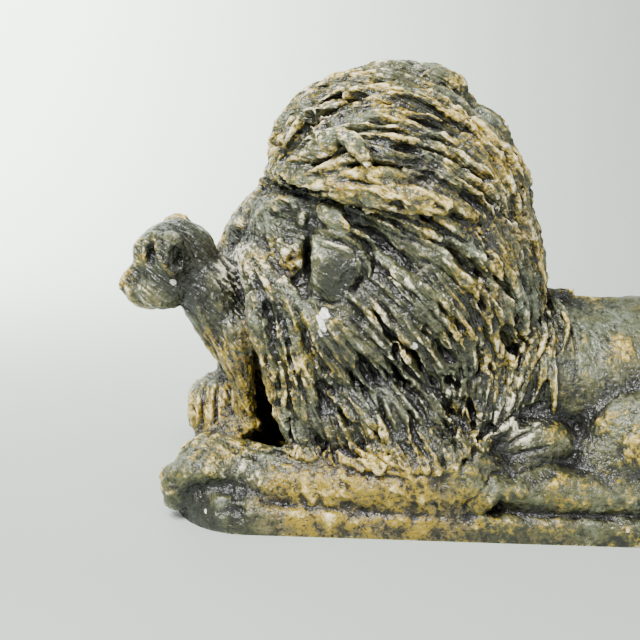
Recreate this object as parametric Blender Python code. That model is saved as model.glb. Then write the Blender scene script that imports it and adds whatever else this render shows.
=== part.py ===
"""Lion and cub, a patinated plaster cast about 0.64 m long.

A lying lion with a heavy mane holds a standing cub between its crossed
forelegs and lays its muzzle on the cub's nape. Lion, cub and the low plinth
under them are one casting. The lion faces -X, its left side faces -Y.
"""
import math

import bmesh
import bpy
import numpy as np
from mathutils import Matrix, Vector
from mathutils.bvhtree import BVHTree

# Driving dimensions in metres
HEIGHT = 0.360               # underside of the plinth to the crest of the mane
PLINTH_THICKNESS = 0.020     # the slab that lion and cub lie on
PLINTH_LENGTH = 0.590
PLINTH_WIDTH = 0.254
PLINTH_FRONT_CORNER = 0.066  # corner radii seen from above
PLINTH_BACK_CORNER = 0.045
PLINTH_EDGE = 0.007          # rounding of the slab's upper edge
PLINTH_SETBACK = 0.054       # from the cub's nose back to the slab's front

# The figure is measured in divisions of its own height above the plinth
FIGURE_DIVISIONS = 340.0
UNIT = (HEIGHT - PLINTH_THICKNESS) / FIGURE_DIVISIONS
GROUND = -PLINTH_THICKNESS / UNIT
NOSE_X = -320.0              # foremost point of the cub, in divisions

# Modelling grain of the clay, in divisions, and how often it is stroked smooth
CORE_GRAIN = 3.0
CORE_STROKES = 4
FINE_GRAIN = 2.6
FINE_STROKES = 1
TRIANGLES = 8600             # kept of the finished skin

# Varnished plaster, dark greenish brown
PATINA_COLOUR = (0.085, 0.080, 0.055, 1.0)
PATINA_ROUGHNESS = 0.5

# Where the heads sit, and how they are turned in degrees: away from the left
# side, down, rolled
LION_HEAD = (-151.0, -4.0, 192.0)
LION_TURN = (36.0, 10.0, 8.0)
LION_EAR = (-132.0, -72.0, 184.0)    # the left ear, laid back against the mane
EAR_RIM = -151.0                     # its opening faces forward
BARE_EAR = (-148.0, 190.0)           # middle, in side view, of the place without hair
BARE_REACH = (30.0, 36.0)            # and its half length and half height
CUB_HEAD = (-271.0, -22.0, 176.0)
CUB_TURN = (-7.0, 3.0, 2.0)
CUB_EAR = (-267.0, -52.0, 186.0)

# How the mane is combed in side view: x, z and the direction of the hair in
# degrees, 0 towards the tail and -90 straight down
COMBING = [
    (-178, 285, 52), (-150, 312, 30), (-97, 336, 0), (-52, 326, -16),
    (-12, 288, -42), (12, 240, -66), (36, 160, -88), (28, 90, -112),
    (2, 50, -125), (-140, 262, 12), (-90, 272, -6), (-45, 252, -28),
    (-10, 205, -58), (-120, 228, -6), (-70, 215, -26), (-80, 178, -42),
    (-115, 190, -42), (-40, 165, -54), (-8, 140, -76), (-14, 84, -100),
    (-98, 128, -46), (-135, 104, -58), (-172, 84, -80), (-152, 52, -66),
    (-120, 66, -54), (-80, 92, -54), (-55, 54, -66), (-95, 30, -54),
    (-205, 190, -52), (-180, 150, -70),
]

LOCK_SPACING = 22.0          # between the roots of neighbouring locks
LOCK_LENGTH = (52.0, 84.0)
LOCK_WIDTH = (8.5, 12.5)     # half the width of a lock at its widest
LOCK_HEIGHT = (0.75, 1.0)    # height of a lock as a share of its half width
LOCK_STEPS = 9
SEED = 7
ELBOW_TUFTS = (-78, -69, -60, -51, -43)    # where the strands at the elbows hang
EAR_CURLS = [                              # x, z and radius of the curls before the ear
    (-175, 196, 4.5), (-170, 191, 5.5), (-164, 193, 4.5), (-173, 182, 4.0),
    (-167, 180, 5.5), (-162, 184, 4.0), (-168, 174, 4.0),
]


def clear_scene():
    """Start from an empty scene."""
    for item in list(bpy.data.objects):
        bpy.data.objects.remove(item, do_unlink=True)


def turned(turn):
    """Axes of a head that faces -X: forward, towards its left, and up."""
    away, down, rolled = (math.radians(angle) for angle in turn)
    forward = Vector((-math.cos(away) * math.cos(down), math.sin(away) * math.cos(down), -math.sin(down)))
    level = Vector((0.0, 0.0, 1.0))
    left = level.cross(forward).normalized()
    up = forward.cross(left)
    tilted_up = up * math.cos(rolled) + left * math.sin(rolled)
    tilted_left = left * math.cos(rolled) - up * math.sin(rolled)
    return Matrix((forward, tilted_left, tilted_up)).transposed()


def lump(heap, center, radii, axes=None, detail=3):
    """An ellipsoid of clay."""
    axes = axes or Matrix.Identity(3)
    placing = Matrix.Translation(center) @ axes.to_4x4() @ Matrix.Diagonal((*radii, 1.0))
    return bmesh.ops.create_icosphere(heap, subdivisions=detail, radius=1.0, matrix=placing)["verts"]


def smooth_stations(stations, between=4):
    """Points and radii on a smooth curve through the stations."""
    rows = np.array(stations, float)
    padded = np.vstack([2 * rows[0] - rows[1], rows, 2 * rows[-1] - rows[-2]])
    result = []
    for index in range(len(rows) - 1):
        a, b, c, d = padded[index:index + 4]
        for step in range(between):
            t = step / between
            result.append(0.5 * (2 * b + (c - a) * t + (2 * a - 5 * b + 4 * c - d) * t ** 2
                                 + (3 * b - a - 3 * c + d) * t ** 3))
    result.append(rows[-1])
    return np.array(result)


def skin_rings(heap, rings):
    """Close a row of vertex rings into a solid with a point at each end."""
    rows = [[heap.verts.new(point) for point in ring] for ring in rings]
    count = len(rings[0])
    for lower, upper in zip(rows[:-1], rows[1:]):
        for index in range(count):
            after = (index + 1) % count
            heap.faces.new((lower[index], lower[after], upper[after], upper[index]))
    for row, flip in ((rows[0], True), (rows[-1], False)):
        middle = heap.verts.new(sum((vert.co for vert in row), Vector()) / count)
        for index in range(count):
            after = (index + 1) % count
            face = (row[after], row[index], middle) if flip else (row[index], row[after], middle)
            heap.faces.new(face)


def limb(heap, stations, spread=1.0, sides=14):
    """A limb through stations of x, y, z and radius, wider sideways by spread."""
    rows = smooth_stations(stations)
    rings = []
    for index, row in enumerate(rows):
        center = Vector(row[:3])
        ahead = Vector(rows[min(index + 1, len(rows) - 1)][:3])
        behind = Vector(rows[max(index - 1, 0)][:3])
        along = (ahead - behind).normalized()
        reference = Vector((0, 0, 1)) if abs(along.z) < 0.85 else Vector((1, 0, 0))
        side = along.cross(reference).normalized()
        over = side.cross(along)
        rings.append([center + side * (math.cos(a) * row[3] * spread) + over * (math.sin(a) * row[3])
                      for a in (math.tau * k / sides for k in range(sides))])
    skin_rings(heap, rings)
    for row in (rows[0], rows[-1]):
        lump(heap, row[:3], (row[3] * 0.98,) * 3, detail=2)


def plinth(heap):
    """The slab: rounded corners from above and a rounded upper edge."""
    front = NOSE_X + PLINTH_SETBACK / UNIT
    back = front + PLINTH_LENGTH / UNIT
    half = PLINTH_WIDTH / 2 / UNIT
    corners = [(front, -half, PLINTH_FRONT_CORNER, 180), (back, -half, PLINTH_BACK_CORNER, 270),
               (back, half, PLINTH_BACK_CORNER, 0), (front, half, PLINTH_FRONT_CORNER, 90)]
    edge = PLINTH_EDGE / UNIT
    levels = [(2 * GROUND, 0.0), (GROUND, 0.0), (-edge, 0.0)]
    for turn in (math.pi / 6, math.pi / 3, math.pi / 2):
        levels.append((-edge + edge * math.sin(turn), edge * (1 - math.cos(turn))))
    rings = []
    for level, inset in levels:
        ring = []
        for x, y, radius, start in corners:
            radius = radius / UNIT
            middle_x = x + math.copysign(radius, -x + (front + back) / 2)
            middle_y = y - math.copysign(radius, y)
            for k in range(9):
                angle = math.radians(start + 90 * k / 8)
                reach = radius - inset
                across, along = reach * math.cos(angle), reach * math.sin(angle)
                ring.append(Vector((middle_x + across, middle_y + along, level)))
        rings.append(ring)
    skin_rings(heap, rings)


def lion_body(heap):
    """Trunk, haunches, hind feet, shoulders, tail."""
    limb(heap, [(-40, 0, 74, 68), (10, 0, 78, 68), (70, 0, 76, 67), (140, 0, 78, 68),
                (210, 0, 76, 68), (258, 0, 64, 58), (286, 0, 48, 40)], spread=1.16, sides=24)
    limb(heap, [(30, 0, 134, 14), (110, 0, 132, 14), (190, 0, 132, 14), (250, 0, 108, 14)])
    for side in (-1, 1):
        limb(heap, [(-20, side * 44, 26, 34), (60, side * 50, 24, 34),
                    (150, side * 50, 26, 34), (230, side * 44, 26, 34)])
        lump(heap, (-24, side * 50, 66), (50, 38, 66))
        lump(heap, (172, side * 66, 58), (86, 44, 64))
        lump(heap, (112, side * 76, 46), (52, 34, 44))
        lump(heap, (84, side * 84, 30), (32, 26, 30))
        limb(heap, [(236, side * 80, 24, 22), (190, side * 94, 14, 20), (120, side * 99, 12, 19),
                    (50, side * 101, 13, 20), (6, side * 100, 14, 21)], spread=1.1)
        for toe in range(4):
            y = side * (101 + (toe - 1.5) * 10.5)
            limb(heap, [(10, y, 19, 9.5), (-14, y, 16, 9.5), (-24, y, 4, 8.0)])
    limb(heap, [(280, 6, 56, 16), (304, 34, 32, 12), (304, 76, 14, 11), (272, 106, 7, 10),
                (214, 117, 6, 9.5), (150, 118, 7, 9)])
    lump(heap, (130, 118, 7), (30, 12, 12))


def lion_forelegs(heap):
    """The left foreleg lies flat; the right one crosses over to rest on its wrist."""
    limb(heap, [(-22, -92, 22, 31), (-70, -96, 16, 28), (-120, -94, 11, 26), (-170, -89, 10, 25),
                (-210, -82, 14, 25), (-238, -76, 16, 25)], spread=1.12)
    limb(heap, [(-30, -108, 4, 16), (-90, -108, 3, 16), (-150, -103, 3, 16), (-200, -93, 3, 16),
                (-234, -80, 3, 16), (-250, -56, 2, 14), (-252, -24, 0, 12)])
    lump(heap, (-270, -66, 3), (10, 11, 8))
    for y in (-102, -86, -70, -54):
        limb(heap, [(-228, y, 22, 12), (-246, y, 20, 12.5), (-257, y, 9, 12), (-258, y, -4, 10)])
    limb(heap, [(-232, -40, 14, 26), (-228, 0, 16, 26), (-214, 40, 14, 26)])
    limb(heap, [(-22, 92, 22, 31), (-80, 96, 17, 27), (-140, 88, 16, 25), (-190, 70, 22, 24),
                (-222, 44, 38, 23), (-236, 20, 48, 23), (-240, 0, 50, 23)], spread=1.05)
    for x in (-254, -243, -232, -221):
        limb(heap, [(x, -4, 58, 10.5), (x, -20, 57, 10.5), (x, -30, 46, 9.5), (x, -32, 34, 8.5)])


def lion_head(heap):
    """Skull, brow, muzzle, chin and ears; the mane hides the rest."""
    axes = turned(LION_TURN)
    origin = Vector(LION_HEAD)

    def at(forward, left, up):
        return origin + axes @ Vector((forward, left, up))

    lump(heap, at(0, 0, 4), (62, 60, 56), axes)
    lump(heap, at(32, 0, 22), (38, 40, 36), axes)
    lump(heap, at(72, 0, -16), (42, 36, 34), axes)
    limb(heap, [(*at(28, 0, 42), 20), (*at(62, 0, 27), 20), (*at(96, 0, 4), 18)], spread=1.2)
    limb(heap, [(-176, 0, 248, 15), (-191, 4, 229, 15), (-206, 10, 213, 15), (-220, 15, 199, 14)])
    lump(heap, at(110, 0, 0), (11, 19, 12), axes)
    lump(heap, at(60, 0, -48), (36, 26, 16), axes)
    lump(heap, at(88, 0, -46), (16, 19, 14), axes)
    for side in (-1, 1):
        lump(heap, at(92, side * 16, -20), (24, 21, 20), axes)
        lump(heap, at(26, side * 36, -16), (44, 27, 38), axes)
        lump(heap, at(52, side * 26, 28), (18, 15, 9), axes)
        lump(heap, at(60, side * 26, 15), (9, 11, 8), axes)
    limb(heap, [(-216, -32, 138, 8), (-207, -40, 124, 8), (-199, -46, 108, 6)])
    near_ear = lump(heap, LION_EAR, (27, 19, 30))
    for vert in near_ear:
        vert.co.x = max(vert.co.x, EAR_RIM)
    lump(heap, at(-26, -62, 10), (23, 19, 26), axes)


def cub_head(heap):
    """A round head with a short muzzle and large round ears."""
    axes = turned(CUB_TURN)
    origin = Vector(CUB_HEAD)

    def at(forward, left, up):
        return origin + axes @ Vector((forward, left, up))

    lump(heap, at(-2, 0, 2), (35, 33, 34), axes)
    lump(heap, at(14, 0, 8), (21, 23, 20), axes)
    lump(heap, at(28, 0, -20), (18, 16, 13), axes)
    limb(heap, [(*at(20, 0, 2), 10), (*at(34, 0, -8), 8), (*at(43, 0, -14), 6)])
    lump(heap, at(46, 0, -17), (4.5, 6, 5), axes)
    lump(heap, at(22, 0, -31), (19, 14, 9), axes)
    for side in (-1, 1):
        lump(heap, at(34, side * 7, -24), (10, 8, 8), axes)
        lump(heap, at(8, side * 19, -19), (24, 15, 17), axes)
        lump(heap, at(24, side * 16, 5), (9, 8, 6), axes)
    lump(heap, CUB_EAR, (13, 13, 21))
    lump(heap, (CUB_EAR[0] - 14, CUB_EAR[1] + 5, CUB_EAR[2] + 2), (10, 10, 18))
    lump(heap, (-275, 8, 203), (14, 8, 11))


def cub_body(heap):
    """Neck, chest, legs and the trunk that goes in under the lion's chin."""
    limb(heap, [(-246, -22, 160, 28), (-236, -22, 138, 27), (-227, -22, 118, 25), (-216, -22, 98, 22)])
    limb(heap, [(-220, -18, 112, 24), (-204, -6, 106, 25), (-178, 14, 96, 27), (-158, 30, 82, 30)])
    limb(heap, [(-217, -34, 120, 20), (-216, -42, 98, 15), (-211, -46, 74, 10), (-210, -47, 52, 9.5)])
    limb(heap, [(-204, -48, 41, 10), (-222, -50, 38, 10)], spread=1.2)
    limb(heap, [(-224, -4, 112, 18), (-228, 4, 88, 15), (-228, 6, 66, 13)])
    lump(heap, (-168, 50, 58), (36, 26, 40))
    lump(heap, (-192, 38, 74), (34, 22, 44))
    limb(heap, [(-170, 58, 36, 15), (-184, 60, 22, 13), (-204, 60, 16, 12)])


def mane_masses(heap):
    """The bulk under the locks; the crest stands out over face and neck."""
    crest = lump(heap, (-100, 0, 241), (92, 90, 86), detail=4)
    for vert in crest:
        ledge = 251 - 0.17 * (vert.co.x + 176)
        if vert.co.z < ledge:
            vert.co.z = ledge + 0.15 * (vert.co.z - ledge)
    lump(heap, (-60, 0, 225), (76, 88, 75), detail=4)
    lump(heap, (-54, 0, 150), (88, 95, 126), detail=4)
    lump(heap, (-112, 0, 88), (74, 82, 84), detail=4)
    lump(heap, (-122, -30, 208), (46, 46, 44))
    limb(heap, [(-194, -38, 178, 22), (-180, -50, 148, 26), (-169, -59, 112, 24), (-160, -66, 76, 22),
                (-148, -74, 44, 18)])
    lump(heap, (-96, 44, 196), (66, 50, 84))
    lump(heap, (-120, 22, 250), (62, 60, 46))
    for side in (-1, 1):
        lump(heap, (-90, side * 52, 52), (78, 48, 52))
        lump(heap, (-112, side * 40, 130), (70, 52, 70))


def to_object(heap, name):
    """Turn a heap of shells into a scene object."""
    bmesh.ops.recalc_face_normals(heap, faces=heap.faces)
    mesh = bpy.data.meshes.new(name)
    heap.to_mesh(mesh)
    heap.free()
    item = bpy.data.objects.new(name, mesh)
    bpy.context.scene.collection.objects.link(item)
    return item


def bake(item):
    """Make the modifiers' result the object's own mesh."""
    depsgraph = bpy.context.evaluated_depsgraph_get()
    baked = bpy.data.meshes.new_from_object(item.evaluated_get(depsgraph))
    item.modifiers.clear()
    previous = item.data
    item.data = baked
    bpy.data.meshes.remove(previous)


def fuse(item, grain, strokes):
    """Work all shells into one skin of even grain and stroke it smooth."""
    remesh = item.modifiers.new("one skin", "REMESH")
    remesh.mode = "VOXEL"
    remesh.voxel_size = grain
    smooth = item.modifiers.new("stroke", "SMOOTH")
    smooth.factor = 0.5
    smooth.iterations = strokes
    bake(item)


def points_of(mesh):
    """The mesh's points as rows of x, y and z."""
    points = np.empty(len(mesh.vertices) * 3)
    mesh.vertices.foreach_get("co", points)
    return points.reshape(-1, 3)


def skin_of(mesh):
    """A search tree over the mesh's faces."""
    return BVHTree.FromPolygons([v.co for v in mesh.vertices], [tuple(p.vertices) for p in mesh.polygons])


def move_points(mesh, points):
    """Put the mesh's points where the rows say."""
    mesh.vertices.foreach_set("co", points.ravel())
    mesh.update()


def press(points, center, radii, axes, push):
    """Press a rounded tool into the clay: points near its center move by push."""
    local = (points - np.array(center)) @ np.array(axes) / np.array(radii)
    reach = np.clip(1 - (local ** 2).sum(1), 0, None) ** 1.5
    points += reach[:, None] * np.array(push)


def press_faces(points):
    """Eye sockets and the cup of the cub's near ear."""
    lion, cub = turned(LION_TURN), turned(CUB_TURN)
    for side in (-1, 1):
        lion_eye = Vector(LION_HEAD) + lion @ Vector((68, side * 21, 13))
        press(points, lion_eye, (12, 9, 8), lion, lion @ Vector((-4, 0, 0)))
        cub_eye = Vector(CUB_HEAD) + cub @ Vector((33, side * 13, -2))
        press(points, cub_eye, (8, 6, 6), cub, cub @ Vector((-4, 0, 0)))
    cup = (CUB_EAR[0] - 18, CUB_EAR[1] - 6, CUB_EAR[2] + 1)
    press(points, cup, (8, 12, 15), Matrix.Identity(3), (3, 10, 0))


def hair_directions(points):
    """Directions of the hair in side view, blended from the combing marks."""
    marks = np.array(COMBING, float)
    away = (points[:, None, 0] - marks[:, 0]) ** 2 + (points[:, None, 2] - marks[:, 1]) ** 2
    weights = 1.0 / (away ** 1.5 + 50.0)
    angles = np.radians(marks[:, 2])
    result = np.zeros((len(points), 3))
    result[:, 0] = weights @ np.cos(angles)
    result[:, 2] = weights @ np.sin(angles)
    return result / np.linalg.norm(result, axis=1, keepdims=True)


def mane_hem(x):
    """Height where the mane ends above the forelegs and the belly."""
    return 30 + 0.3 * np.clip(x + 60, 0, None)


def round_the_ear(x, z):
    """Whether a place seen from the side lies on the ear or next to it, where no hair grows."""
    return ((x - BARE_EAR[0]) / BARE_REACH[0]) ** 2 + ((z - BARE_EAR[1]) / BARE_REACH[1]) ** 2 < 1


def in_mane(points):
    """Which points of the skin carry mane: behind the face, before the back."""
    x, _, z = points.T
    forward, left, up = ((points - np.array(LION_HEAD)) @ np.array(turned(LION_TURN))).T
    face = (forward > 8) & (up < 54) & (left > -60) & (z > 112)
    side_limit = np.where(z < 150, 44 + 0.42 * (z - 150), 60)
    return (x > -200) & (x < side_limit) & (z > mane_hem(x)) & ~face & ~round_the_ear(x, z)


def comb_path(skin, start, length, steps, drift):
    """Follow the hair over the skin from a root to the hem: points and skin normals."""
    path = []
    point = start
    for step in range(steps + 1):
        near, normal, _, _ = skin.find_nearest(point)
        if near.z < mane_hem(near.x) or round_the_ear(near.x, near.z):
            break
        path.append((near, normal))
        heading = Vector(hair_directions(np.array([near]))[0])
        heading += Vector((0, 0, 1)).cross(normal) * drift * math.sin(2.2 * step / steps + drift)
        heading -= normal * heading.dot(normal)
        if heading.length < 0.2:
            heading = Vector((0, 0, -1)) - normal * -normal.z
        point = near + heading.normalized() * length / steps
    return path


def lock(heap, path, width, height, lift, sides=6):
    """A tapering lock of hair lying along a path over the skin."""
    rings = []
    last = len(path) - 1
    for index, (point, normal) in enumerate(path):
        t = index / last
        ahead = path[min(index + 1, last)][0]
        behind = path[max(index - 1, 0)][0]
        along = (ahead - behind).normalized()
        side = along.cross(normal).normalized()
        full = max(math.sin(math.pi * min(1.0, 0.12 + 0.95 * t)) ** 0.55, 0.16)
        center = point + normal * (lift * t * t - 0.15 * height)
        rings.append([center + side * (math.cos(a) * width * full) + normal * (math.sin(a) * height * full)
                      for a in (math.tau * k / sides for k in range(sides))])
    skin_rings(heap, rings)


def mane_locks(heap, skin, points):
    """Large locks laid over the bulk of the mane, root by root in random order."""
    rng = np.random.default_rng(SEED)
    points = points[in_mane(points)]
    roots = np.empty((0, 3))
    for point in points[rng.permutation(len(points))]:
        if len(roots) and np.min(((roots - point) ** 2).sum(1)) < LOCK_SPACING ** 2:
            continue
        roots = np.vstack([roots, point])
        length = rng.uniform(*LOCK_LENGTH)
        width = rng.uniform(*LOCK_WIDTH)
        path = comb_path(skin, Vector(point), length, LOCK_STEPS, rng.uniform(-0.35, 0.35))
        height = width * rng.uniform(*LOCK_HEIGHT)
        lift = rng.uniform(1.0, 5.0)
        if len(path) > 4 and in_mane(np.array([path[len(path) // 2][0]]))[0]:
            lock(heap, path, width, height, lift)


def standing_locks(heap):
    """Curls on the crest and over the ear, a roll along the crest's edge, tufts at the elbows."""
    limb(heap, [(-134, 6, 320, 8), (-110, 8, 327, 11), (-86, 8, 328, 12), (-64, 8, 322, 11),
                (-50, 8, 314, 8)], spread=2.4)
    limb(heap, [(-42, 4, 297, 8), (-24, 6, 290, 10), (-9, 6, 280, 9), (-2, 6, 270, 7)], spread=2.4)
    limb(heap, [(-188, -16, 251, 7), (-170, -56, 251, 10), (-140, -79, 246, 10), (-105, -91, 240, 10),
                (-73, -95, 234, 10), (-50, -96, 230, 7)], spread=0.8)
    lump(heap, (-137, -90, 277), (7, 6, 9))
    limb(heap, [(-131, -91, 283, 4), (-123, -94, 279, 6), (-114, -95, 271, 6), (-109, -95, 262, 3.5)])
    for side in (-1, 1):
        for number, x in enumerate(ELBOW_TUFTS):
            sway = 3.0 * math.sin(2.0 * number)
            shorter = 4.0 * abs(number - 2)
            limb(heap, [(x - 12, side * 100, 56, 7), (x + sway, side * 118, 30 + shorter, 6.5),
                        (0.6 * x - 20 + sway, side * 121, 8 + shorter, 5),
                        (0.45 * x - 26, side * 118, -8 + shorter, 3)], sides=8)


def ear_lumps(heap, skin):
    """What stands round the ear that shows: a bead, an oval, a rounded lump and curls in its opening."""

    def on_side(x, z):
        place, normal, _, _ = skin.ray_cast(Vector((x, -400, z)), Vector((0, 1, 0)))
        return place, normal

    bead, outward = on_side(-159, 216)
    lump(heap, bead + outward * 2.0, (5.0, 6.0, 8.0))
    oval, outward = on_side(-131, 215)
    lump(heap, oval + outward * 4.0, (18, 7, 8.5), Matrix.Rotation(math.radians(34), 3, "Y"))
    lump(heap, on_side(-161, 140)[0], (11, 7, 15))
    for x, z, size in EAR_CURLS:
        lump(heap, on_side(x, z)[0], (size, size, size * 1.3))


def stand_flat(item):
    """Cut the slab's underside flat at the ground and close it."""
    work = bmesh.new()
    work.from_mesh(item.data)
    everything = work.verts[:] + work.edges[:] + work.faces[:]
    cut = bmesh.ops.bisect_plane(work, geom=everything, dist=1e-5, plane_co=(0, 0, GROUND),
                                 plane_no=(0, 0, -1), clear_outer=True)
    rim = [part for part in cut["geom_cut"] if isinstance(part, bmesh.types.BMEdge)]
    bmesh.ops.edgenet_fill(work, edges=rim)
    bmesh.ops.triangulate(work, faces=work.faces[:])
    work.to_mesh(item.data)
    work.free()


def to_size(item):
    """From divisions to metres, centred over the underside."""
    points = points_of(item.data) * UNIT
    points[:, 2] += PLINTH_THICKNESS
    middle = (points.min(0) + points.max(0)) / 2
    points[:, :2] -= middle[:2]
    move_points(item.data, points)


def patinated_plaster():
    """Dark greenish varnished patina over plaster."""
    material = bpy.data.materials.new("patinated plaster")
    material.use_nodes = True
    shader = material.node_tree.nodes["Principled BSDF"]
    shader.inputs["Base Color"].default_value = PATINA_COLOUR
    shader.inputs["Roughness"].default_value = PATINA_ROUGHNESS
    shader.inputs["Metallic"].default_value = 0.0
    return material


def build():
    """Model the whole cast as one object."""
    clear_scene()
    core_heap = bmesh.new()
    for masses in (lion_body, lion_forelegs, lion_head, cub_head, cub_body, mane_masses):
        masses(core_heap)
    core = to_object(core_heap, "core")
    fuse(core, CORE_GRAIN, CORE_STROKES)
    points = points_of(core.data)
    press_faces(points)
    move_points(core.data, points)
    skin = skin_of(core.data)

    heap = bmesh.new()
    plinth(heap)
    standing_locks(heap)
    ear_lumps(heap, skin)
    mane_locks(heap, skin, points)
    heap.from_mesh(core.data)
    bpy.data.objects.remove(core)
    cast = to_object(heap, "lion_and_cub")
    fuse(cast, FINE_GRAIN, FINE_STROKES)
    fewer = cast.modifiers.new("facets", "DECIMATE")
    triangles_now = 2 * len(cast.data.polygons)
    fewer.ratio = TRIANGLES / triangles_now
    bake(cast)
    stand_flat(cast)
    to_size(cast)
    cast.data.materials.clear()
    cast.data.materials.append(patinated_plaster())
    return cast


build()
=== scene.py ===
import math

import bmesh
import bpy
import numpy as np
from mathutils import Matrix, Vector
from mathutils.bvhtree import BVHTree


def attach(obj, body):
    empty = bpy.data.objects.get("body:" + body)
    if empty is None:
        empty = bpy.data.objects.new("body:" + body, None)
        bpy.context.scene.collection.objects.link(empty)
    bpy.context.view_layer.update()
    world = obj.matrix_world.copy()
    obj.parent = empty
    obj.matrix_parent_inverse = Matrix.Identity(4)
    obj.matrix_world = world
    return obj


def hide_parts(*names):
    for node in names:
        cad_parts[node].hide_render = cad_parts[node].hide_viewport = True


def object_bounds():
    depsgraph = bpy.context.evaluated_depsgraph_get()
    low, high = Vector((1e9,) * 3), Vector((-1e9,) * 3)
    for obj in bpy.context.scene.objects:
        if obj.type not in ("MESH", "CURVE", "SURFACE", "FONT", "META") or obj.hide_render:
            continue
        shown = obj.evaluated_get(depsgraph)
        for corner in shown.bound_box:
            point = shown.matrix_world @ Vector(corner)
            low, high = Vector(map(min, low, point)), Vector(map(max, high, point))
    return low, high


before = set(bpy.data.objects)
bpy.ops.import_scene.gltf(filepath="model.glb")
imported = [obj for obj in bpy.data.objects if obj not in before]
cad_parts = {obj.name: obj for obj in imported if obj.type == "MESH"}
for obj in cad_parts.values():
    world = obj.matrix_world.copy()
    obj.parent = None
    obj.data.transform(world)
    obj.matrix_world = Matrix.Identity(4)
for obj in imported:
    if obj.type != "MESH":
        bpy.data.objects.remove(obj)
cad_low, cad_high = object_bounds()

# The bare figure
# One plaster cast: a lying lion with a cub between its forelegs, on a slab.
# It was modelled in clay, cast in a piece mould, then patinated and varnished.
# This first coat of clay has the solid's masses, without the locks of the mane.

# Sizes of the real piece in metres
HEIGHT = 0.360
PLINTH_THICKNESS = 0.020
PLINTH_LENGTH = 0.590
PLINTH_WIDTH = 0.254
PLINTH_FRONT_CORNER = 0.066
PLINTH_BACK_CORNER = 0.045
PLINTH_EDGE = 0.007
PLINTH_SETBACK = 0.054

# The figure is measured in divisions of its own height, so one is a millimetre
FIGURE_DIVISIONS = 340.0
UNIT = (HEIGHT - PLINTH_THICKNESS) / FIGURE_DIVISIONS
GROUND = -PLINTH_THICKNESS / UNIT
NOSE_X = -320.0
CORE_GRAIN = 3.0
CORE_STROKES = 4
CORNER_STEPS = 8
# A limb steeper than this takes its sideways direction from the x axis
STEEP = 0.85

# Where the heads sit, and how they are turned in degrees: away from the left
# side, down, rolled; and the bare skin round the lion's ear, in side view
LION_HEAD = (-151.0, -4.0, 192.0)
LION_TURN = (36.0, 10.0, 8.0)
LION_EAR = (-132.0, -72.0, 184.0)
EAR_RIM = -151.0
BARE_EAR = (-148.0, 190.0)
BARE_REACH = (30.0, 36.0)
CUB_HEAD = (-271.0, -22.0, 176.0)
CUB_TURN = (-7.0, 3.0, 2.0)
CUB_EAR = (-267.0, -52.0, 186.0)


def turned(turn):
    """Axes of a head that faces -X: forward, towards its left, and up."""
    away, down, rolled = (math.radians(angle) for angle in turn)
    level = math.cos(down)
    forward = Vector((-math.cos(away) * level, math.sin(away) * level, -math.sin(down)))
    left = Vector((0.0, 0.0, 1.0)).cross(forward).normalized()
    up = forward.cross(left)
    tilted_up = up * math.cos(rolled) + left * math.sin(rolled)
    tilted_left = left * math.cos(rolled) - up * math.sin(rolled)
    return Matrix((forward, tilted_left, tilted_up)).transposed()


def lump(heap, center, radii, axes=None, detail=3):
    """An ellipsoid of clay."""
    axes = axes or Matrix.Identity(3)
    placing = Matrix.Translation(center) @ axes.to_4x4() @ Matrix.Diagonal((*radii, 1.0))
    return bmesh.ops.create_icosphere(heap, subdivisions=detail, radius=1.0, matrix=placing)["verts"]


def smooth_stations(stations, between=4):
    """Points and radii on a smooth curve through the stations."""
    rows = np.array(stations, float)
    padded = np.vstack([2 * rows[0] - rows[1], rows, 2 * rows[-1] - rows[-2]])
    result = []
    for index in range(len(rows) - 1):
        a, b, c, d = padded[index:index + 4]
        for step in range(between):
            t = step / between
            result.append(0.5 * (2 * b + (c - a) * t + (2 * a - 5 * b + 4 * c - d) * t ** 2
                                 + (3 * b - a - 3 * c + d) * t ** 3))
    result.append(rows[-1])
    return np.array(result)


def skin_rings(heap, rings):
    """Close a row of vertex rings into a solid with a point at each end."""
    rows = [[heap.verts.new(point) for point in ring] for ring in rings]
    count = len(rings[0])
    for lower, upper in zip(rows[:-1], rows[1:]):
        for index in range(count):
            after = (index + 1) % count
            heap.faces.new((lower[index], lower[after], upper[after], upper[index]))
    for row, flip in ((rows[0], True), (rows[-1], False)):
        middle = heap.verts.new(sum((vert.co for vert in row), Vector()) / count)
        for index in range(count):
            after = (index + 1) % count
            face = (row[after], row[index], middle) if flip else (row[index], row[after], middle)
            heap.faces.new(face)


def limb(heap, stations, spread=1.0, sides=14):
    """A limb through stations of x, y, z and radius, wider sideways by spread."""
    rows = smooth_stations(stations)
    rings = []
    for index, row in enumerate(rows):
        center = Vector(row[:3])
        ahead = Vector(rows[min(index + 1, len(rows) - 1)][:3])
        behind = Vector(rows[max(index - 1, 0)][:3])
        along = (ahead - behind).normalized()
        reference = Vector((0, 0, 1)) if abs(along.z) < STEEP else Vector((1, 0, 0))
        side = along.cross(reference).normalized()
        over = side.cross(along)
        rings.append([center + side * (math.cos(a) * row[3] * spread) + over * (math.sin(a) * row[3])
                      for a in (math.tau * k / sides for k in range(sides))])
    skin_rings(heap, rings)
    for row in (rows[0], rows[-1]):
        lump(heap, row[:3], (row[3] * 0.98,) * 3, detail=2)


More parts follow.
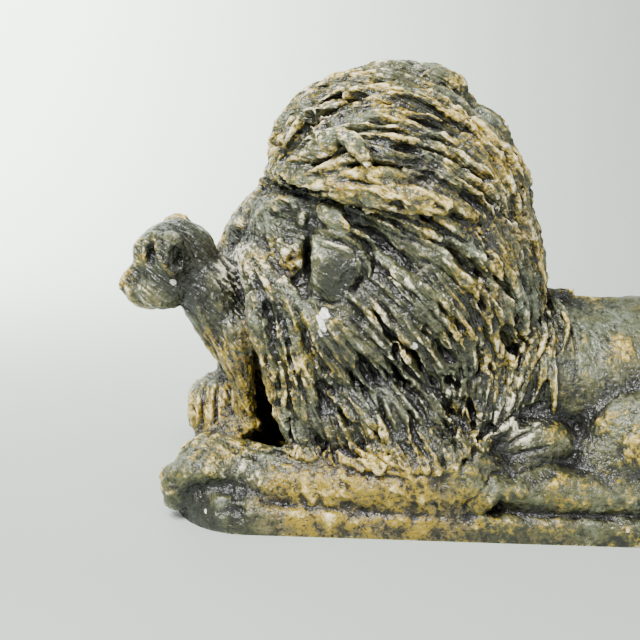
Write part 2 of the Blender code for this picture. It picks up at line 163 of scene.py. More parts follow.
def plinth(heap):
    """The slab: rounded corners from above and a rounded upper edge."""
    front = NOSE_X + PLINTH_SETBACK / UNIT
    back = front + PLINTH_LENGTH / UNIT
    half = PLINTH_WIDTH / 2 / UNIT
    corners = [(front, -half, PLINTH_FRONT_CORNER, 180), (back, -half, PLINTH_BACK_CORNER, 270),
               (back, half, PLINTH_BACK_CORNER, 0), (front, half, PLINTH_FRONT_CORNER, 90)]
    edge = PLINTH_EDGE / UNIT
    levels = [(2 * GROUND, 0.0), (GROUND, 0.0), (-edge, 0.0)]
    for turn in (math.pi / 6, math.pi / 3, math.pi / 2):
        levels.append((-edge + edge * math.sin(turn), edge * (1 - math.cos(turn))))
    rings = []
    for level, inset in levels:
        ring = []
        for x, y, radius, start in corners:
            radius = radius / UNIT
            middle_x = x + math.copysign(radius, -x + (front + back) / 2)
            middle_y = y - math.copysign(radius, y)
            for k in range(CORNER_STEPS + 1):
                angle = math.radians(start + 90 * k / CORNER_STEPS)
                reach = radius - inset
                across, along = reach * math.cos(angle), reach * math.sin(angle)
                ring.append(Vector((middle_x + across, middle_y + along, level)))
        rings.append(ring)
    skin_rings(heap, rings)


def lion_body(heap):
    """Trunk, haunches, hind feet, shoulders, tail."""
    limb(heap, [(-40, 0, 74, 68), (10, 0, 78, 68), (70, 0, 76, 67), (140, 0, 78, 68),
                (210, 0, 76, 68), (258, 0, 64, 58), (286, 0, 48, 40)], spread=1.16, sides=24)
    limb(heap, [(30, 0, 134, 14), (110, 0, 132, 14), (190, 0, 132, 14), (250, 0, 108, 14)])
    for side in (-1, 1):
        limb(heap, [(-20, side * 44, 26, 34), (60, side * 50, 24, 34),
                    (150, side * 50, 26, 34), (230, side * 44, 26, 34)])
        lump(heap, (-24, side * 50, 66), (50, 38, 66))
        lump(heap, (172, side * 66, 58), (86, 44, 64))
        lump(heap, (112, side * 76, 46), (52, 34, 44))
        lump(heap, (84, side * 84, 30), (32, 26, 30))
        lump(heap, (22, side * 80, 44), (38, 21, 21))
        limb(heap, [(236, side * 80, 24, 22), (190, side * 94, 14, 20), (120, side * 99, 12, 19),
                    (50, side * 101, 13, 20), (6, side * 100, 14, 21)], spread=1.1)
        for toe in range(4):
            y = side * (101 + (toe - 1.5) * 10.5)
            limb(heap, [(10, y, 19, 9.5), (-14, y, 16, 9.5), (-24, y, 4, 8.0)])
    limb(heap, [(280, 6, 56, 16), (304, 34, 32, 12), (304, 76, 14, 11), (272, 106, 7, 10),
                (214, 117, 6, 9.5), (150, 118, 7, 9)])
    lump(heap, (130, 118, 7), (30, 12, 12))


def lion_forelegs(heap):
    """The left foreleg lies flat; the right one crosses over to rest on its wrist."""
    limb(heap, [(-22, -92, 22, 31), (-70, -96, 16, 28), (-120, -94, 11, 26), (-170, -89, 10, 25),
                (-210, -82, 14, 25), (-238, -76, 16, 25)], spread=1.12)
    limb(heap, [(-30, -108, 4, 16), (-90, -108, 3, 16), (-150, -103, 3, 16), (-200, -93, 3, 16),
                (-234, -80, 3, 16), (-250, -56, 2, 14), (-252, -24, 0, 12)])
    limb(heap, [(-196, -114, -3, 12), (-222, -108, -4, 13), (-240, -96, -4, 13), (-252, -78, -5, 12),
                (-256, -52, -6, 11)])
    lump(heap, (-270, -66, 3), (10, 11, 8))
    for y in (-102, -86, -70, -54):
        limb(heap, [(-228, y, 22, 12), (-246, y, 20, 12.5), (-257, y, 9, 12), (-258, y, -4, 10)])
    limb(heap, [(-232, -40, 14, 26), (-228, 0, 16, 26), (-214, 40, 14, 26)])
    limb(heap, [(-22, 92, 22, 31), (-80, 96, 17, 27), (-140, 88, 16, 25), (-190, 70, 22, 24),
                (-222, 44, 38, 23), (-236, 20, 48, 23), (-240, 0, 50, 23)], spread=1.05)
    for x in (-254, -243, -232, -221):
        limb(heap, [(x, -4, 58, 10.5), (x, -20, 57, 10.5), (x, -30, 46, 9.5), (x, -32, 34, 8.5)])


def lion_head(heap):
    """Skull, brow, muzzle, chin and ears; the mane hides the rest."""
    axes = turned(LION_TURN)
    origin = Vector(LION_HEAD)

    def at(forward, left, up):
        return origin + axes @ Vector((forward, left, up))

    lump(heap, at(0, 0, 4), (62, 60, 56), axes)
    lump(heap, at(32, 0, 22), (38, 40, 36), axes)
    lump(heap, at(72, 0, -16), (42, 36, 34), axes)
    limb(heap, [(*at(28, 0, 42), 20), (*at(62, 0, 27), 20), (*at(96, 0, 4), 18)], spread=1.2)
    limb(heap, [(-176, 0, 248, 15), (-191, 4, 229, 15), (-206, 10, 213, 15), (-220, 15, 199, 14)])
    lump(heap, at(110, 0, 0), (11, 19, 12), axes)
    lump(heap, at(60, 0, -48), (36, 26, 16), axes)
    lump(heap, at(88, 0, -46), (16, 19, 14), axes)
    for side in (-1, 1):
        lump(heap, at(92, side * 16, -20), (24, 21, 20), axes)
        lump(heap, at(26, side * 36, -16), (44, 27, 38), axes)
        lump(heap, at(52, side * 26, 28), (18, 15, 9), axes)
        lump(heap, at(60, side * 26, 15), (9, 11, 8), axes)
    limb(heap, [(-216, -32, 138, 8), (-207, -40, 124, 8), (-199, -46, 108, 6)])
    near_ear = lump(heap, LION_EAR, (27, 19, 30))
    for vert in near_ear:
        vert.co.x = max(vert.co.x, EAR_RIM)
    lump(heap, at(-26, -62, 10), (23, 19, 26), axes)


def cub_head(heap):
    """A round head with a short muzzle and large round ears."""
    axes = turned(CUB_TURN)
    origin = Vector(CUB_HEAD)

    def at(forward, left, up):
        return origin + axes @ Vector((forward, left, up))

    lump(heap, at(-2, 0, 2), (35, 33, 34), axes)
    lump(heap, at(14, 0, 8), (21, 23, 20), axes)
    lump(heap, at(28, 0, -20), (18, 16, 13), axes)
    limb(heap, [(*at(20, 0, 2), 10), (*at(34, 0, -8), 8), (*at(43, 0, -14), 6)])
    lump(heap, at(46, 0, -17), (4.5, 6, 5), axes)
    lump(heap, at(22, 0, -31), (19, 14, 9), axes)
    for side in (-1, 1):
        lump(heap, at(34, side * 7, -24), (10, 8, 8), axes)
        lump(heap, at(8, side * 19, -19), (24, 15, 17), axes)
        lump(heap, at(24, side * 16, 5), (9, 8, 6), axes)
    lump(heap, CUB_EAR, (13, 13, 21))
    lump(heap, (CUB_EAR[0] - 14, CUB_EAR[1] + 5, CUB_EAR[2] + 2), (10, 10, 18))
    lump(heap, (-275, 8, 203), (14, 8, 11))


def cub_body(heap):
    """Neck, chest, legs and the trunk that goes in under the lion's chin."""
    limb(heap, [(-246, -22, 160, 28), (-236, -22, 138, 27), (-227, -22, 118, 25), (-216, -22, 98, 22)])
    limb(heap, [(-220, -18, 112, 24), (-204, -6, 106, 25), (-178, 14, 96, 27), (-158, 30, 82, 30)])
    limb(heap, [(-217, -34, 120, 20), (-216, -42, 98, 15), (-211, -46, 74, 10), (-210, -47, 52, 9.5)])
    limb(heap, [(-204, -48, 41, 10), (-222, -50, 38, 10)], spread=1.2)
    limb(heap, [(-224, -4, 112, 18), (-228, 4, 88, 15), (-228, 6, 66, 13)])
    lump(heap, (-168, 50, 58), (36, 26, 40))
    lump(heap, (-192, 38, 74), (34, 22, 44))
    limb(heap, [(-170, 58, 36, 15), (-184, 60, 22, 13), (-204, 60, 16, 12)])


def mane_masses(heap):
    """The bulk under the locks; the crest stands out over face and neck."""
    crest = lump(heap, (-100, 0, 241), (92, 90, 86), detail=4)
    for vert in crest:
        ledge = 251 - 0.17 * (vert.co.x + 176)
        if vert.co.z < ledge:
            vert.co.z = ledge + 0.15 * (vert.co.z - ledge)
    lump(heap, (-60, 0, 225), (76, 88, 75), detail=4)
    lump(heap, (-54, 0, 150), (88, 95, 126), detail=4)
    lump(heap, (-112, 0, 88), (74, 82, 84), detail=4)
    lump(heap, (-122, -30, 208), (46, 46, 44))
    limb(heap, [(-194, -38, 178, 22), (-180, -50, 148, 26), (-169, -59, 112, 24), (-160, -66, 76, 22),
                (-148, -74, 44, 18)])
    lump(heap, (-96, 44, 196), (66, 50, 84))
    lump(heap, (-120, 22, 250), (62, 60, 46))
    for side in (-1, 1):
        lump(heap, (-90, side * 52, 52), (78, 48, 52))
        lump(heap, (-112, side * 40, 130), (70, 52, 70))


def to_object(heap, name):
    """Turn a heap of shells into a scene object."""
    bmesh.ops.recalc_face_normals(heap, faces=heap.faces)
    mesh = bpy.data.meshes.new(name)
    heap.to_mesh(mesh)
    heap.free()
    item = bpy.data.objects.new(name, mesh)
    bpy.context.scene.collection.objects.link(item)
    return item


def bake(item):
    """Make the modifiers' result the object's own mesh."""
    depsgraph = bpy.context.evaluated_depsgraph_get()
    baked = bpy.data.meshes.new_from_object(item.evaluated_get(depsgraph))
    item.modifiers.clear()
    previous = item.data
    item.data = baked
    bpy.data.meshes.remove(previous)


def fuse(item, grain, strokes):
    """Work all shells into one skin of even grain and stroke it smooth."""
    remesh = item.modifiers.new("one skin", "REMESH")
    remesh.mode = "VOXEL"
    remesh.voxel_size = grain
    if strokes:
        smooth = item.modifiers.new("stroke", "SMOOTH")
        smooth.factor = 0.5
        smooth.iterations = strokes
    bake(item)


def points_of(mesh):
    """The mesh's points as rows of x, y and z."""
    points = np.empty(len(mesh.vertices) * 3)
    mesh.vertices.foreach_get("co", points)
    return points.reshape(-1, 3)


def skin_of(mesh):
    """A search tree over the mesh's faces."""
    faces = [tuple(face.vertices) for face in mesh.polygons]
    return BVHTree.FromPolygons([vertex.co for vertex in mesh.vertices], faces)


def normals_of(mesh):
    """The mesh's point normals as rows of x, y and z."""
    normals = np.empty(len(mesh.vertices) * 3, np.float32)
    mesh.vertex_normals.foreach_get("vector", normals)
    return normals.reshape(-1, 3).astype(float)


def move_points(mesh, points):
    """Put the mesh's points where the rows say."""
    mesh.vertices.foreach_set("co", points.ravel())
    mesh.update()


def press(points, center, radii, push, axes=None):
    """Press a rounded tool into the clay: points near its center move by push."""
    axes = axes or Matrix.Identity(3)
    local = (points - np.array(center)) @ np.array(axes) / np.array(radii)
    reach = np.clip(1 - (local ** 2).sum(1), 0, None) ** 1.5
    points += reach[:, None] * np.array(push)


def press_faces(points):
    """Eye sockets and the cup of the cub's near ear."""
    lion, cub = turned(LION_TURN), turned(CUB_TURN)
    for side in (-1, 1):
        lion_eye = Vector(LION_HEAD) + lion @ Vector((68, side * 21, 13))
        press(points, lion_eye, (12, 9, 8), lion @ Vector((-4, 0, 0)), lion)
        cub_eye = Vector(CUB_HEAD) + cub @ Vector((33, side * 13, -2))
        press(points, cub_eye, (8, 6, 6), cub @ Vector((-4, 0, 0)), cub)
    cup = (CUB_EAR[0] - 18, CUB_EAR[1] - 6, CUB_EAR[2] + 1)
    press(points, cup, (8, 12, 15), (3, 10, 0))


core_heap = bmesh.new()
for mass in (lion_body, lion_forelegs, lion_head, cub_head, cub_body, mane_masses):
    mass(core_heap)
core = to_object(core_heap, "core")
fuse(core, CORE_GRAIN, CORE_STROKES)

core_points = points_of(core.data)
press_faces(core_points)
move_points(core.data, core_points)
skin = skin_of(core.data)

# The mane
# Locks of clay laid root by root over the bulk, tips over the next ones. Each
# has a core with two to four strands over it. They are combed back over the
# crest, down behind it and aslant across the neck to the beard.

# Places in side view, x and z, with the angle in degrees that the hair takes
COMBING = [
    (-178, 285, 52), (-150, 312, 30), (-97, 336, 0), (-52, 326, -16),
    (-12, 288, -42), (12, 240, -66), (36, 160, -88), (28, 90, -112),
    (2, 50, -125), (-140, 262, 12), (-90, 272, -6), (-45, 252, -28),
    (-10, 205, -58), (-120, 228, -6), (-70, 215, -26), (-80, 178, -42),
    (-115, 190, -42), (-40, 165, -54), (-8, 140, -76), (-14, 84, -100),
    (-98, 128, -46), (-135, 104, -58), (-172, 84, -80), (-152, 52, -66),
    (-120, 66, -54), (-80, 92, -54), (-55, 54, -66), (-95, 30, -54),
    (-205, 190, -52), (-180, 150, -70),
]
MARK_FADE = 1.5
MARK_SOFTNESS = 50.0
# The mane ends at this height, and behind the bend its hem rises to the back
HEM_HEIGHT, HEM_RISE, HEM_BEND = 30, 0.3, -60
LOCK_SPACING = 22.0
LOCK_LENGTH = (52.0, 84.0)
LOCK_WIDTH = (8.5, 12.5)
LOCK_HEIGHT = (0.75, 1.0)
LOCK_LIFT = (1.0, 5.0)
LOCK_DRIFT = 0.35
LOCK_STEPS = 9
SHORTEST_PATH = 4
SEED = 7
STRAND_SPACING = 19.0
STRAND_LENGTH = (50.0, 105.0)
STRAND_WIDTH = (2.4, 4.6)
BEARD_STRAND_WIDTH = (1.8, 2.8)
STRAND_STAND = (3.0, 8.0)
STRAND_DRIFT = 0.5
STRAND_STEPS = 14


def hair_directions(points):
    """Directions of the hair in side view, blended from the combing marks."""
    marks = np.array(COMBING, float)
    away = (points[:, None, 0] - marks[:, 0]) ** 2 + (points[:, None, 2] - marks[:, 1]) ** 2
    weights = 1.0 / (away ** MARK_FADE + MARK_SOFTNESS)
    angles = np.radians(marks[:, 2])
    result = np.zeros((len(points), 3))
    result[:, 0] = weights @ np.cos(angles)
    result[:, 2] = weights @ np.sin(angles)
    return result / np.linalg.norm(result, axis=1, keepdims=True)


def mane_hem(x):
    """Height where the mane ends above the forelegs and the belly."""
    return HEM_HEIGHT + HEM_RISE * np.clip(x - HEM_BEND, 0, None)


def round_the_ear(x, z):
    """Whether a place in side view lies on the ear or next to it, where no hair grows."""
    across = (x - BARE_EAR[0]) / BARE_REACH[0]
    above = (z - BARE_EAR[1]) / BARE_REACH[1]
    return across ** 2 + above ** 2 < 1


def in_mane(points):
    """Which points of the skin carry mane: behind the face, before the back."""
    x, _, z = points.T
    forward, left, up = ((points - np.array(LION_HEAD)) @ np.array(turned(LION_TURN))).T
    face = (forward > 8) & (up < 54) & (left > -60) & (z > 112)
    side_limit = np.where(z < 150, 44 + 0.42 * (z - 150), 60)
    return (x > -200) & (x < side_limit) & (z > mane_hem(x)) & ~face & ~round_the_ear(x, z)


def comb_path(skin, start, length, steps, drift, hem=mane_hem):
    """Follow the hair over the skin from a root to the hem: points and skin normals."""
    path = []
    point = start
    for step in range(steps + 1):
        near, normal, _, _ = skin.find_nearest(point)
        if near.z < hem(near.x) or round_the_ear(near.x, near.z):
            break
        path.append((near, normal))
        heading = Vector(hair_directions(np.array([near]))[0])
        heading += Vector((0, 0, 1)).cross(normal) * drift * math.sin(2.2 * step / steps + drift)
        heading -= normal * heading.dot(normal)
        if heading.length < 0.2:
            # The hair would point straight into the skin, so it hangs down instead
            heading = Vector((0, 0, -1)) + normal * normal.z
        point = near + heading.normalized() * length / steps
    return path


def lock(heap, path, width, height, lift, sides=6, beside=0.0, gather=0.0):
    """A lock along a path over the skin; it may lie beside the path and gather to its tip."""
    rings = []
    last = len(path) - 1
    for index, (point, normal) in enumerate(path):
        t = index / last
        ahead = path[min(index + 1, last)][0]
        behind = path[max(index - 1, 0)][0]
        along = (ahead - behind).normalized()
        side = along.cross(normal).normalized()
        # Blunt at the root, full in the middle, fine at the tip
        full = max(math.sin(math.pi * min(1.0, 0.12 + 0.95 * t)) ** 0.55, 0.16)
        center = point + normal * (lift * t * t - 0.15 * height) + side * beside * (1 - gather * t * t)
        rings.append([center + side * (math.cos(a) * width * full)
                      + normal * (math.sin(a) * height * full)
                      for a in (math.tau * k / sides for k in range(sides))])
    skin_rings(heap, rings)


def roots_on(points, spacing, rng):
    """Points of the skin in random order, none nearer to an earlier one than the spacing."""
    kept = np.empty((0, 3))
    for point in points[rng.permutation(len(points))]:
        if len(kept) and np.min(((kept - point) ** 2).sum(1)) < spacing ** 2:
            continue
        kept = np.vstack([kept, point])
        yield point


mane_points = core_points[in_mane(core_points)]
large = np.random.default_rng(SEED)
locks = []
for point in roots_on(mane_points, LOCK_SPACING, large):
    length = large.uniform(*LOCK_LENGTH)
    width = large.uniform(*LOCK_WIDTH)
    path = comb_path(skin, Vector(point), length, LOCK_STEPS, large.uniform(-LOCK_DRIFT, LOCK_DRIFT))
    height = width * large.uniform(*LOCK_HEIGHT)
    lift = large.uniform(*LOCK_LIFT)
    if len(path) > SHORTEST_PATH and in_mane(np.array([path[len(path) // 2][0]]))[0]:
        locks.append((path, width, height, lift))

fine = np.random.default_rng(SEED + 1)
hair = bmesh.new()
for path, width, height, lift in locks:
    # A core, and over it strands that lie side by side and gather to the tip
    lock(hair, path, width * 0.92, height * 0.78, lift, sides=8)
    strands = int(fine.integers(2, 5))
    for strand in range(strands):
        place = (strand + 0.5) / strands * 2 - 1
        lock(hair, path, width / strands * 1.1, height * fine.uniform(0.5, 0.75),
             lift + 1.5 + fine.uniform(-1.0, 1.5), sides=7, beside=place * width * 0.75,
             gather=fine.uniform(0.55, 0.95))

# Single strands stand up between the locks and lie down at both ends
for point in roots_on(mane_points, STRAND_SPACING, fine):
    beard = point[0] < -150 and point[2] < 150
    width = fine.uniform(*(BEARD_STRAND_WIDTH if beard else STRAND_WIDTH))
    length = fine.uniform(*STRAND_LENGTH)
    drift = fine.uniform(-STRAND_DRIFT, STRAND_DRIFT)
    path = comb_path(skin, Vector(point), length, STRAND_STEPS, drift)
    stand = fine.uniform(*STRAND_STAND)
    arch = [math.sin(math.pi * min(1.0, 0.2 + 0.8 * k / STRAND_STEPS)) ** 0.6 for k in range(len(path))]
    path = [(near + normal * stand * rise, normal) for rise, (near, normal) in zip(arch, path)]
    if len(path) > SHORTEST_PATH:
        lock(hair, path, width, width * fine.uniform(0.9, 1.4), 0.0, sides=6)

# Locks that stand out by themselves
# Curls at the top and the back of the crest, a roll along its lower edge, a
# pair of short curls over the ear, strands like roots at the elbows, and on
# the side that shows a bead, an oval, a lump and small curls round the ear.

ELBOW_TUFTS = (-78, -69, -60, -51, -43)
OVAL_PLACE = (-131, 215)
OVAL_TURN = Matrix.Rotation(math.radians(34), 3, "Y")
# The curls in the ear's opening: x, z and size
EAR_CURLS = [
    (-175, 196, 4.5), (-170, 191, 5.5), (-164, 193, 4.5), (-173, 182, 4.0),
    (-167, 180, 5.5), (-162, 184, 4.0), (-168, 174, 4.0),
]


def standing_locks(heap):
    """Curls on the crest and over the ear, a roll along the crest's edge, tufts at the elbows."""
    limb(heap, [(-134, 6, 320, 8), (-110, 8, 327, 11), (-86, 8, 328, 12), (-64, 8, 322, 11),
                (-50, 8, 314, 8)], spread=2.4)
    limb(heap, [(-42, 4, 297, 8), (-24, 6, 290, 10), (-9, 6, 280, 9), (-2, 6, 270, 7)], spread=2.4)
    limb(heap, [(-84, -8, 322, 7), (-66, -10, 327, 10), (-50, -10, 324, 11), (-39, -9, 315, 9),
                (-38, -8, 306, 4)], spread=1.6)
    limb(heap, [(-36, -8, 299, 6), (-20, -10, 295, 8), (-6, -10, 286, 8), (2, -9, 274, 6)], spread=1.6)
    limb(heap, [(-188, -16, 251, 7), (-170, -56, 251, 10), (-140, -79, 246, 10), (-105, -91, 240, 10),
                (-73, -95, 234, 10), (-50, -96, 230, 7)], spread=0.8)
    lump(heap, (-137, -90, 277), (7, 6, 9))
    limb(heap, [(-131, -91, 283, 4), (-123, -94, 279, 6), (-114, -95, 271, 6), (-109, -95, 262, 3.5)])
    for side in (-1, 1):
        for number, x in enumerate(ELBOW_TUFTS):
            sway = 3.0 * math.sin(2.0 * number)
            shorter = 4.0 * abs(number - 2)
            limb(heap, [(x - 12, side * 100, 56, 7), (x + sway, side * 118, 30 + shorter, 6.5),
                        (0.6 * x - 20 + sway, side * 121, 8 + shorter, 5),
                        (0.45 * x - 26, side * 118, -8 + shorter, 3)], sides=8)


def on_side(x, z):
    """Where the skin on the side that shows lies behind x and z, and its normal."""
    place, normal, _, _ = skin.ray_cast(Vector((x, -400, z)), Vector((0, 1, 0)))
    return place, normal


def ear_lumps(heap):
    """A bead, an oval and a rounded lump round the ear that shows, and curls in its opening."""
    bead, outward = on_side(-159, 216)
    lump(heap, bead + outward * 2.0, (5.0, 6.0, 8.0))
    oval, outward = on_side(*OVAL_PLACE)
    lump(heap, oval + outward * 4.0, (18, 7, 8.5), OVAL_TURN)
    lump(heap, on_side(-161, 140)[0], (11, 7, 15))
    for x, z, size in EAR_CURLS:
        curl, outward = on_side(x, z)
        lump(heap, curl + outward * 2.5, (size, size, size * 1.3))


extras = bmesh.new()
standing_locks(extras)
ear_lumps(extras)

# The cast
# Slab, figure and mane become one skin, fine enough to show each strand. In
# plaster they are one piece too, without a seam or a fixing.

SKIN_GRAIN = 1.3
MOST_FACETS = 196_000

heap = bmesh.new()
plinth(heap)
for layer in (core, to_object(hair, "locks"), to_object(extras, "stand-outs")):
    heap.from_mesh(layer.data)
    if layer is not core:
        bpy.data.objects.remove(layer)
cast = to_object(heap, "cast_lion_and_cub")
fuse(cast, SKIN_GRAIN, 1)

# The tool marks
# Before casting, the clay was worked with a wire tool: deep gouges between
# the locks, finer grooves along them, and small scratches over the body.

# Gouges on the side that shows: middle in x and z, angle in degrees, length,
# half width
NEAR_GOUGES = [
    (-36, 187, -42, 39, 6), (-5, 168, -62, 27, 5), (-49, 121, -45, 24, 5), (-68, 113, -63, 18, 4),
    (-43, 96, -45, 17, 5), (-3, 126, -68, 30, 6), (-43, 71, -51, 15, 4), (9, 126, -57, 13, 3),
    (-14, 104, -64, 13, 3), (-79, 97, -45, 11, 3), (-124, 66, -60, 16, 3), (-143, 117, -65, 13, 3),
    (-157, 245, -11, 35, 4), (-101, 235, -13, 23, 4), (-29, 250, -35, 17, 4), (-22, 235, -47, 17, 4),
    (12, 211, -73, 23, 4), (-6, 259, -44, 11, 3), (-177, 272, 27, 14, 3), (-147, 290, 8, 17, 3),
    (-24, 159, -79, 14, 4), (-85, 119, -65, 13, 3), (-110, 103, -59, 19, 3), (-93, 70, -64, 22, 3),
    (-71, 57, -63, 18, 3), (-133, 38, -57, 15, 3), (-159, 89, -76, 26, 2.5), (-167, 107, -73, 28, 2.5),
    (-50, 152, -60, 16, 3), (-76, 184, -40, 15, 2.5), (-25, 72, -65, 16, 3),
]
# Lines on the side that shows, as x and z places, half width and depth; a
# raised line has a depth below zero
NEAR_LINES = [
    # The cub: front rim of its ear, the ring before the ear, cracks on its cheek
    (((-274, 202), (-276, 194), (-273, 186), (-269, 178), (-264, 169)), 2.4, -3.0),
    (((-284, 197), (-289, 191), (-290, 184), (-287, 177), (-281, 174), (-277, 180)), 1.6, -1.8),
    (((-270, 158), (-262, 160), (-253, 163)), 1.3, -1.2),
    (((-264, 160), (-259, 154), (-261, 148)), 1.3, -1.2),
    # The lion: front rim of its ear, then the hollows above, behind and below it
    (((-152, 201), (-153, 190), (-153, 178), (-151, 166)), 2.2, -1.8),
    (((-150, 207), (-140, 206), (-128, 203), (-113, 196)), 3.2, 5.0),
    (((-118, 199), (-112, 186), (-114, 171), (-124, 160)), 3.0, 4.0),
    (((-149, 158), (-138, 155), (-124, 158)), 2.6, 3.5),
    # Folds of skin between the mane's hem and the thigh
    (((-8, 44), (10, 54), (36, 62)), 2.6, 3.0),
    (((-6, 36), (14, 43), (44, 50)), 2.4, 2.6),
    (((-4, 28), (18, 33), (46, 36)), 2.6, 3.0),
    (((4, 60), (20, 72), (40, 80)), 2.8, 2.6),
]
# Hollows pressed into the cub: the opening of its ear, the ring before the
# ear, its eye
CUB_HOLLOWS = [
    ((-261, -64, 184), (7, 12, 13), (3, 11, 0)),
    ((-284, -52, 185), (4.5, 8, 8), (0, 3.5, 0)),
    ((-302, -34, 168), (3.0, 3.0, 2.6), (1.6, 1.6, 0)),
]
# The dark slit before the lion's ear, x and z
EAR_SLIT = (-155.5, 183)
# Small hollows between the curls in the lion's ear: x, z and radius
CURL_HOLLOWS = [(-169, 186, 2.5), (-165, 178, 2.2), (-171, 177, 2.0), (-166, 192, 2.0)]
# A crooked notch across the top of the crest
CREST_NOTCH = [(-56, -34, 306), (-49, -16, 312), (-52, 2, 314), (-46, 16, 310)]
CREST_FOOT = 236
SLAB_TOP = 4
LIP = 0.22
STROKE_REACH = 15.0


class Clay:
    """The points of the skin in order of x, so that a stroke finds its own quickly."""

    def __init__(self, mesh):
        points = points_of(mesh).astype(np.float32)
        self.order = np.argsort(points[:, 0])
        self.points = points[self.order]
        self.moved = self.points.copy()

    def carve(self, path, width, depth):
        """Draw a lens-shaped groove along a path of points and normals, with a raised lip."""
        line = np.array([place for place, _ in path], np.float32)
        outward = np.array([normal for _, normal in path], np.float32)
        low, high = line.min(0) - STROKE_REACH, line.max(0) + STROKE_REACH
        first, last = np.searchsorted(self.points[:, 0], (low[0], high[0]))
        near = self.points[first:last]
        chosen = np.flatnonzero(((near[:, 1:] > low[1:]) & (near[:, 1:] < high[1:])).all(1))
        near = near[chosen]
        best = np.full(len(near), np.inf, np.float32)
        share = np.zeros(len(near), np.float32)
        normal = np.zeros((len(near), 3), np.float32)
        steps = len(line) - 1
        for k in range(steps):
            span = line[k + 1] - line[k]
            t = np.clip((near - line[k]) @ span / (span @ span), 0, 1)
            facing = outward[k] + t[:, None] * (outward[k + 1] - outward[k])
            gap = near - line[k] - t[:, None] * span
            height = (gap * facing).sum(1)
            beside = np.where(np.abs(height) < STROKE_REACH, (gap * gap).sum(1) - height ** 2, np.inf)
            closer = beside < best
            best[closer] = beside[closer]
            share[closer] = (k + t[closer]) / steps
            normal[closer] = facing[closer]
        swell = np.sin(np.pi * np.clip(share, 0.02, 0.98)) ** 0.7
        offset = np.sqrt(np.clip(best, 0, 1e4)) / (width * (0.45 + 0.55 * swell))
        profile = -np.clip(1 - offset ** 2, 0, None) ** 1.5
        profile += np.where((offset > 0.8) & (offset < 2.2), LIP * np.sin(np.pi * (offset - 0.8) / 1.4), 0)
        self.moved[first + chosen] += (depth * swell * profile)[:, None] * normal

    def put_back(self, mesh):
        """Move the mesh's points to where the strokes left them."""
        points = np.empty(self.moved.shape)
        points[self.order] = self.moved
        move_points(mesh, points)


def value_noise(points, cell, seed):
    """Smooth noise between -1 and 1 with bumps of about the cell's size."""
    side = 64
    grid = np.random.default_rng(seed).uniform(-1, 1, side ** 3).astype(np.float32)
    place = points / cell
    base = np.floor(place)
    part = (place - base).astype(np.float32)
    part = part * part * (3 - 2 * part)
    base = base.astype(np.int64) % side
    after = (base + 1) % side
    total = np.zeros(len(points), np.float32)
    for pick in range(8):
        corner = 0
        weight = 1.0
        for axis in range(3):
            upper = pick >> axis & 1
            corner = corner * side + (after if upper else base)[:, axis]
            weight = weight * (part[:, axis] if upper else 1 - part[:, axis])
        total += weight * grid[corner]
    return total


def streaks(points, along, cell, reach, seed):
    """Noise drawn out along the hair, of about unit strength."""
    steps = np.arange(-reach, reach + 1e-6, cell * 1.2)
    total = sum(value_noise(points + along * step, cell, seed) for step in steps)
    return total / math.sqrt(len(steps)) * 1.7


def carved_lines():
    """Toes, eyes, noses and mouths: places near the skin, half width and depth."""
    lion, cub = turned(LION_TURN), turned(CUB_TURN)

    def on_figure(*places):
        return [Vector(place) for place in places]

    def on_lion(*places):
        return [Vector(LION_HEAD) + lion @ Vector(place) for place in places]

    def on_cub(*places):
        return [Vector(CUB_HEAD) + cub @ Vector(place) for place in places]

    lines = []
    for y in (-94, -78, -62):
        lines.append((on_figure((-240, y, 40), (-254, y, 32), (-268, y, 14), (-270, y, -6)), 2.6, 6.0))
    for x in (-248.5, -237.5, -226.5):
        lines.append((on_figure((x, -14, 74), (x, -34, 62), (x, -44, 46), (x, -42, 30)), 2.6, 6.0))
    for y in (-50, -54, -46):
        lines.append((on_figure((-226, y, 50), (-232, y, 44), (-236, y, 34)), 1.2, 1.5))
    for s in (-1, 1):
        for y in (s * 90.5, s * 101.0, s * 111.5):
            lines.append((on_figure((10, y, 34), (-14, y, 30), (-32, y, 14), (-34, y, -4)), 2.0, 3.5))
        lines += [
            # The lion: mouth, eye, upper lid, nostril, edge of the nose
            (on_lion((114, s, -12), (110, s * 8, -28), (96, s * 18, -34), (76, s * 27, -36)), 3.0, 6.5),
            (on_lion((75, s * 13, 11), (69, s * 21, 13), (61, s * 28, 10)), 3.2, 5.0),
            (on_lion((76, s * 11, 16), (71, s * 20, 21), (62, s * 29, 17)), 2.2, -2.6),
            (on_lion((119, s * 6, 2), (117, s * 9, -2), (114, s * 12, -3)), 2.6, 4.5),
            (on_lion((118, s * 5, 12), (113, s * 16, 7), (110, s * 19, -4)), 1.8, 3.0),
            # The cub: mouth, eye, nostril
            (on_cub((46, s, -21), (42, s * 5, -27), (35, s * 11, -30), (26, s * 15, -30)), 1.0, 1.3),
            (on_cub((37, s * 8, -1), (33, s * 13, 0), (28, s * 17, -3)), 2.2, 3.0),
            (on_cub((50, s * 2.5, -16), (48, s * 4, -17), (46, s * 5, -17)), 1.2, 1.5),
        ]
    return lines


def gouge_out(places, spacing, lengths, widths, depths):
    """Short gouges along the hair; their depths are shares of their widths."""
    for point in roots_on(places, spacing, marks):
        length = marks.uniform(*lengths)
        stroke = comb_path(skin, Vector(point), length, 7, marks.uniform(-0.3, 0.3))
        width = marks.uniform(*widths)
        if len(stroke) > SHORTEST_PATH:
            clay.carve(stroke, width, width * marks.uniform(*depths))


